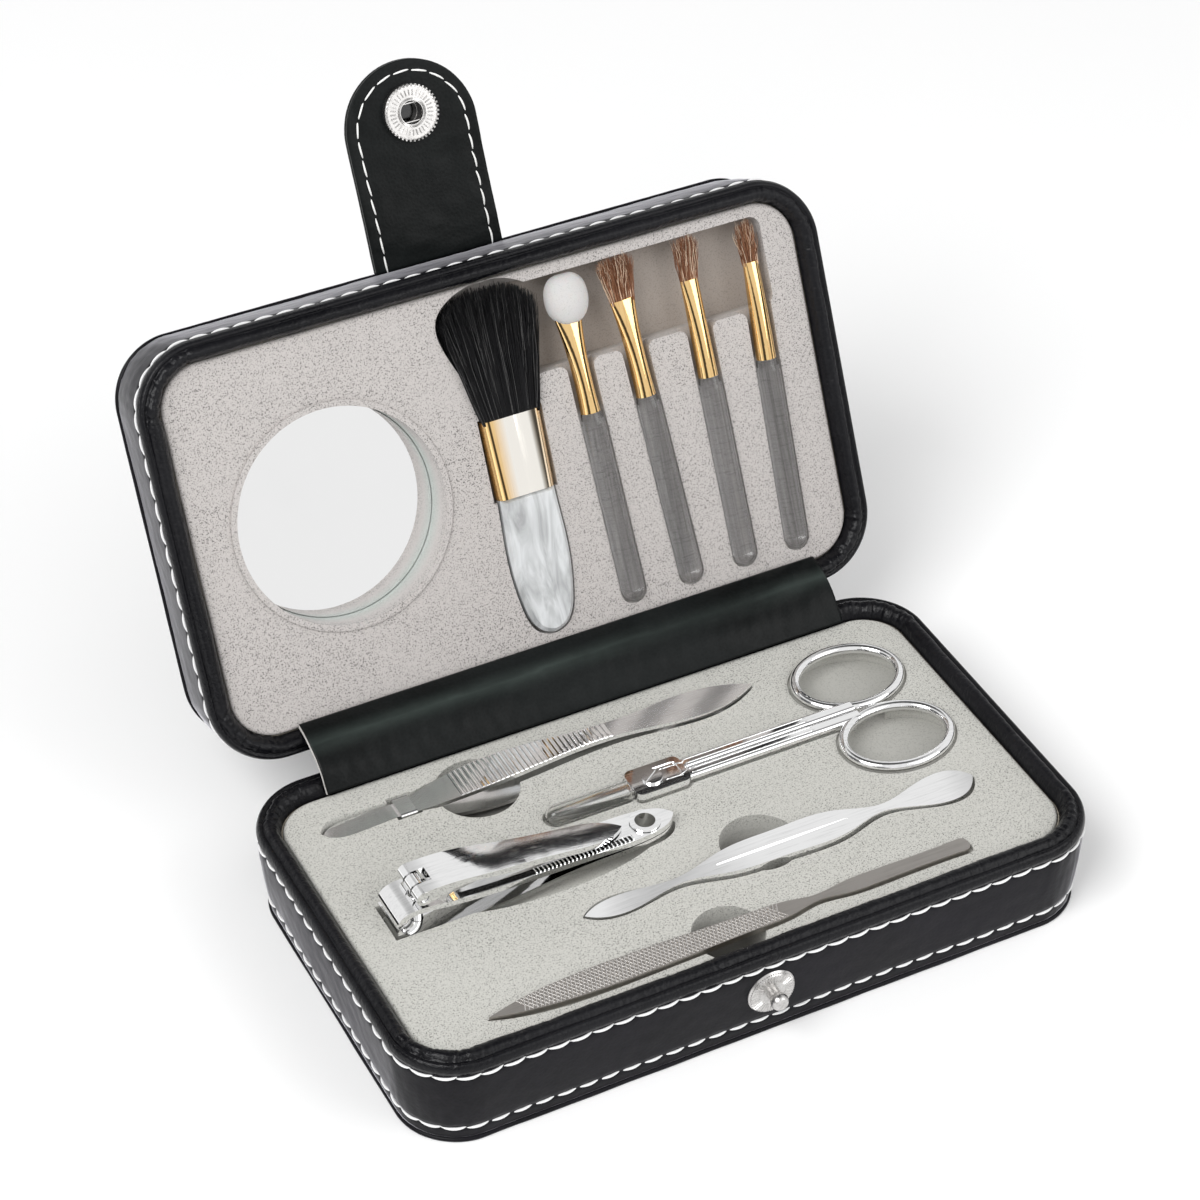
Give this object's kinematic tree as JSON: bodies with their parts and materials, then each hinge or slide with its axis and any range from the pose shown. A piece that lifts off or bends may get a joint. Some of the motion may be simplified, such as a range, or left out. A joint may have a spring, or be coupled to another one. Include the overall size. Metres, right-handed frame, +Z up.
{
  "type": "manicure set case",
  "caption": "Hinged leather case that opens flat, with steel nail tools in the base, brushes and a round mirror in the lid, and a snap tab.",
  "frame": {"origin": "centre of the base's underside", "axes": "+Z up, +X along the hinge to the right as seen from the front, +Y from the snap towards the hinge"},
  "size_m": [0.1558, 0.1727, 0.1358],
  "materials": {
    "leather": "fine grained black leather, soft sheen",
    "flock": "flocked, matt, fine dark specks",
    "board": "plain moulded board, hidden",
    "foam": "plain foam, hidden",
    "nickel": "polished nickel",
    "steel": "brushed stainless steel",
    "polished_steel": "polished steel",
    "gold": "gold anodised, satin",
    "acrylic": "clear acrylic",
    "clear_sleeve": "clear soft plastic",
    "black_hair": "soft black bristles",
    "brown_hair": "soft brown bristles",
    "sponge": "fine white foam",
    "mirror": "silvered glass",
    "card": "plain card, hidden"
  },
  "bodies": {
    "base": {"base_former": "board", "base_wall_padding": "foam", "base_wall_cover": "leather", "base_bottom_panel": "leather", "base_rim_roll": "leather", "base_insert": "flock", "snap_stud": "nickel", "snap_stud_rivet": "nickel", "hinge_strip": "leather"},
    "lid": {"lid_former": "board", "lid_wall_padding": "foam", "lid_wall_cover": "leather", "lid_cover_panel": "leather", "lid_rim_roll": "leather", "lid_insert": "flock", "mirror_glass": "mirror", "mirror_backing": "card", "tab_anchor": "leather"},
    "tab": {"tab_outer": "leather", "tab_lining": "leather", "snap_socket": "nickel", "snap_spring": "nickel", "snap_cap": "nickel"},
    "tweezers": {"tweezers_arm_lower": "steel", "tweezers_collar": "steel", "tweezers_spade": "steel"},
    "tweezers_upper": {"tweezers_arm_upper": "steel"},
    "scissors": {"scissors_blade_upper": "polished_steel", "scissors_blade_lower": "polished_steel", "scissors_screw": "polished_steel", "scissors_guard": "clear_sleeve"},
    "clipper": {"clipper_arm_lower": "polished_steel", "clipper_eyelet": "polished_steel"},
    "clipper_upper": {"clipper_arm_upper": "polished_steel"},
    "clipper_swivel": {"clipper_post": "polished_steel", "clipper_pin": "polished_steel"},
    "clipper_lever": {"clipper_lever": "polished_steel"},
    "pusher": {"cuticle_pusher": "polished_steel"},
    "file": {"nail_file": "steel"},
    "blush": {"blush_handle": "acrylic", "blush_ferrule": "gold", "blush_hair": "black_hair"},
    "sponge": {"sponge_handle": "acrylic", "sponge_ferrule": "gold", "sponge_tip": "sponge"},
    "smudge": {"smudge_handle": "acrylic", "smudge_ferrule": "gold", "smudge_hair": "brown_hair"},
    "shader": {"shader_handle": "acrylic", "shader_ferrule": "gold", "shader_hair": "brown_hair"},
    "liner": {"liner_handle": "acrylic", "liner_ferrule": "gold", "liner_hair": "brown_hair"}
  },
  "joints": [
    {"name": "lid_hinge", "type": "hinge", "parent": "base", "child": "lid", "pos_m": [0, 0.0471, 0.02335], "axis": [-1, 0, 0], "range_deg": [-115, 65], "deforming": ["hinge_strip"]},
    {"name": "tab_fold", "type": "hinge", "parent": "lid", "child": "tab", "pos_m": [0, 0.10291, 0.10021], "axis": [-1, 0, 0], "range_deg": [-90, 0]},
    {"name": "tweezers_lift", "type": "slide", "parent": "base", "child": "tweezers", "axis": [0, 0, 1], "range_m": [0, 0.03]},
    {"name": "tweezers_squeeze", "type": "hinge", "parent": "tweezers", "child": "tweezers_upper", "pos_m": [-0.045, 0.029, 0.01965], "axis": [0, 1, 0], "range_deg": [0, 2.5], "stiffness_Nm_per_rad": 1},
    {"name": "scissors_lift", "type": "slide", "parent": "base", "child": "scissors", "axis": [0, 0, 1], "range_m": [0, 0.03]},
    {"name": "clipper_lift", "type": "slide", "parent": "base", "child": "clipper", "axis": [0, 0, 1], "range_m": [0, 0.03]},
    {"name": "clipper_squeeze", "type": "hinge", "parent": "clipper", "child": "clipper_upper", "pos_m": [-0.0065, -0.0008, 0.0222], "axis": [0, -1, 0], "range_deg": [0, 1.3], "stiffness_Nm_per_rad": 4},
    {"name": "clipper_swivel_turn", "type": "hinge", "parent": "clipper", "child": "clipper_swivel", "pos_m": [-0.0578, -0.0008, 0.0206], "axis": [0, 0, -1], "range_deg": [0, 180]},
    {"name": "clipper_lever_flip", "type": "hinge", "parent": "clipper_swivel", "child": "clipper_lever", "pos_m": [-0.0578, -0.0008, 0.0285], "axis": [0, -1, 0], "range_deg": [0, 150]},
    {"name": "pusher_lift", "type": "slide", "parent": "base", "child": "pusher", "axis": [0, 0, 1], "range_m": [0, 0.03]},
    {"name": "file_lift", "type": "slide", "parent": "base", "child": "file", "axis": [0, 0, 1], "range_m": [0, 0.03]},
    {"name": "blush_lift", "type": "slide", "parent": "lid", "child": "blush", "axis": [0, -0.9063, 0.4226], "range_m": [0, 0.03]},
    {"name": "sponge_lift", "type": "slide", "parent": "lid", "child": "sponge", "axis": [0, -0.9063, 0.4226], "range_m": [0, 0.03]},
    {"name": "smudge_lift", "type": "slide", "parent": "lid", "child": "smudge", "axis": [0, -0.9063, 0.4226], "range_m": [0, 0.03]},
    {"name": "shader_lift", "type": "slide", "parent": "lid", "child": "shader", "axis": [0, -0.9063, 0.4226], "range_m": [0, 0.03]},
    {"name": "liner_lift", "type": "slide", "parent": "lid", "child": "liner", "axis": [0, -0.9063, 0.4226], "range_m": [0, 0.03]}
  ]
}
